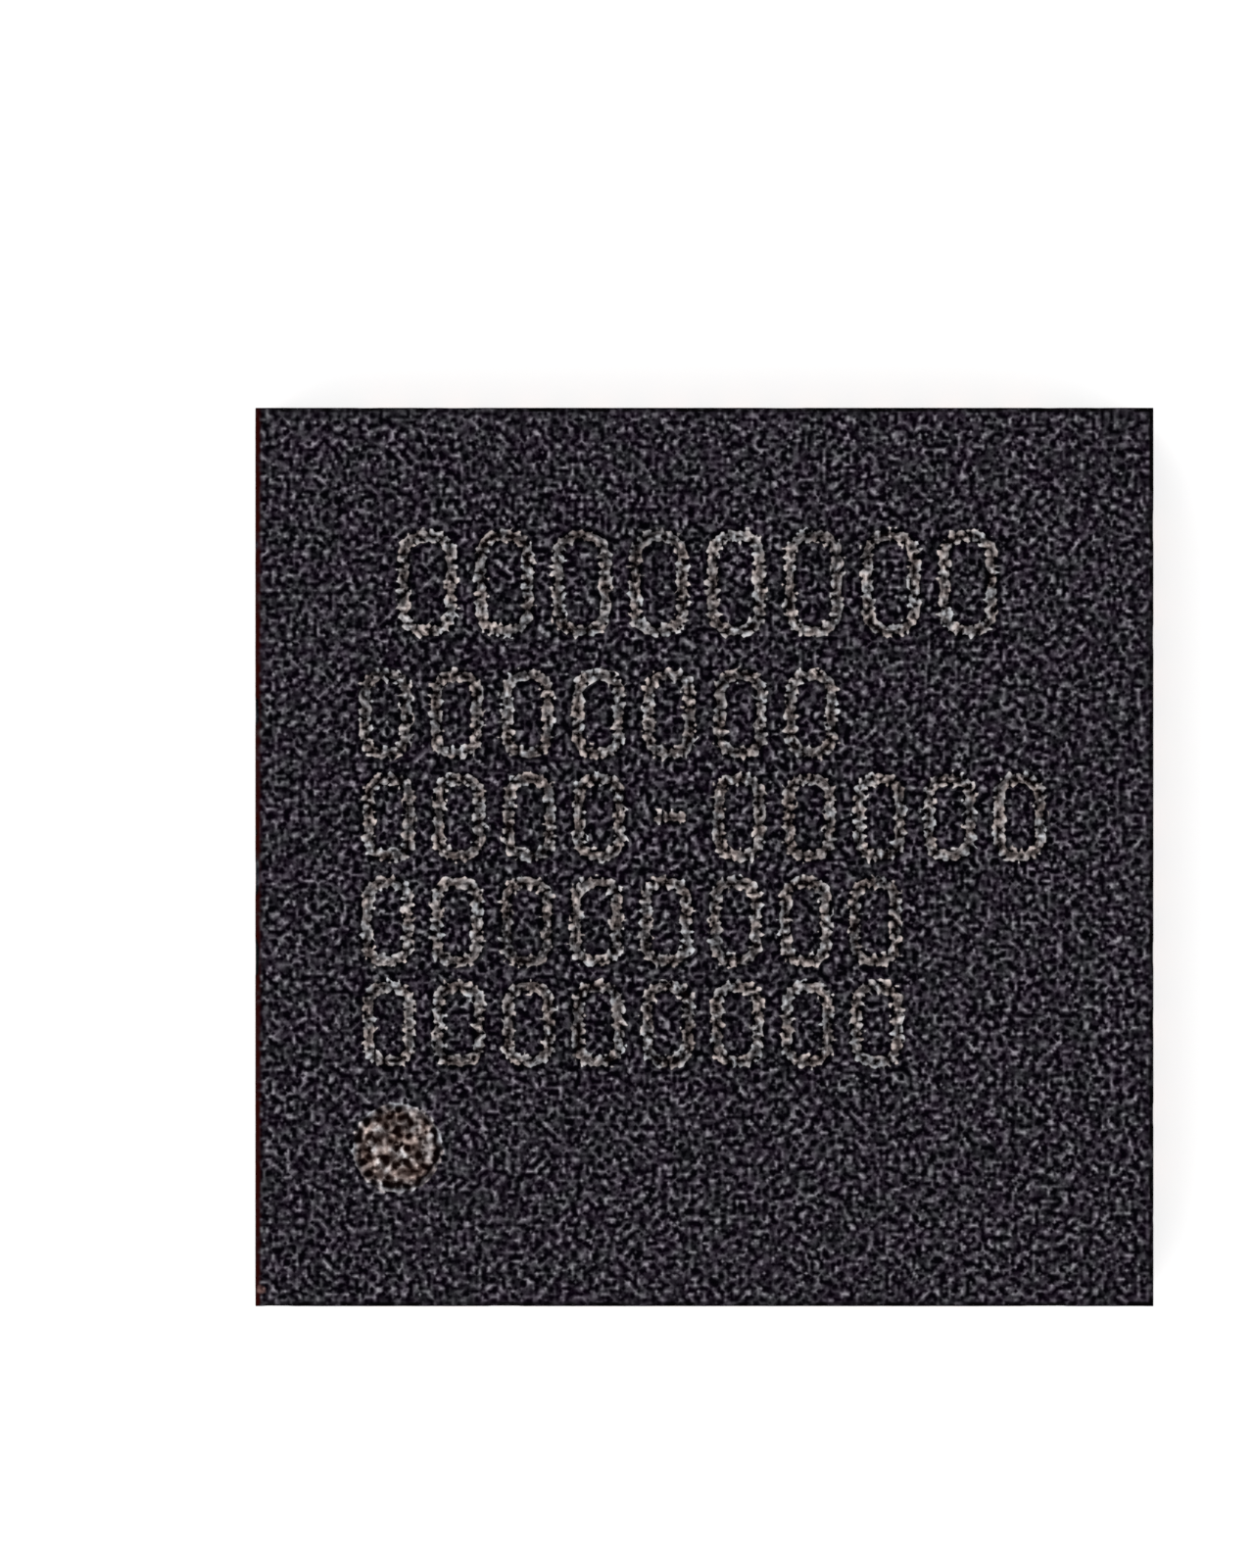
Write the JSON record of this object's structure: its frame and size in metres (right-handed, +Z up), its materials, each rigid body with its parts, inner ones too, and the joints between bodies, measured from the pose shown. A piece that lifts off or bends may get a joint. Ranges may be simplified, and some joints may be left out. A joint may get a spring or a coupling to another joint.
{
  "type": "integrated circuit",
  "caption": "Flat square no-lead chip package: black moulded block with tinned terminals along every underside edge, an exposed centre pad, and a die and bond wires inside.",
  "frame": {"origin": "middle of the seating plane, under the middle of the package", "axes": "+Z up out of the marked top face, pin 1 at the -X, -Y corner, leads numbered anticlockwise from above"},
  "size_m": [0.005, 0.005, 0.0009],
  "materials": {
    "moulding_compound": "black filled epoxy, finely eroded top face with laser-scorched marks, sawn sides, smooth underside",
    "tinned_copper": "copper alloy, matt tin on the bare underside, bare copper where sawn",
    "silicon": "polished silicon",
    "die_adhesive": "silver-filled epoxy",
    "bond_wire": "bright drawn gold"
  },
  "bodies": {
    "root": {"moulding": "moulding_compound", "die_pad": "tinned_copper", "die": "silicon", "die_attach": "die_adhesive", "lead_01": "tinned_copper", "lead_02": "tinned_copper", "lead_03": "tinned_copper", "lead_04": "tinned_copper", "lead_05": "tinned_copper", "lead_06": "tinned_copper", "lead_07": "tinned_copper", "lead_08": "tinned_copper", "lead_09": "tinned_copper", "lead_10": "tinned_copper", "lead_11": "tinned_copper", "lead_12": "tinned_copper", "lead_13": "tinned_copper", "lead_14": "tinned_copper", "lead_15": "tinned_copper", "lead_16": "tinned_copper", "lead_17": "tinned_copper", "lead_18": "tinned_copper", "lead_19": "tinned_copper", "lead_20": "tinned_copper", "lead_21": "tinned_copper", "lead_22": "tinned_copper", "lead_23": "tinned_copper", "lead_24": "tinned_copper", "lead_25": "tinned_copper", "lead_26": "tinned_copper", "lead_27": "tinned_copper", "lead_28": "tinned_copper", "lead_29": "tinned_copper", "lead_30": "tinned_copper", "lead_31": "tinned_copper", "lead_32": "tinned_copper", "lead_33": "tinned_copper", "lead_34": "tinned_copper", "lead_35": "tinned_copper", "lead_36": "tinned_copper", "lead_37": "tinned_copper", "lead_38": "tinned_copper", "lead_39": "tinned_copper", "lead_40": "tinned_copper", "bond_wires_front": "bond_wire", "bond_wires_right": "bond_wire", "bond_wires_back": "bond_wire", "bond_wires_left": "bond_wire", "ground_wires": "bond_wire"}
  },
  "joints": []
}
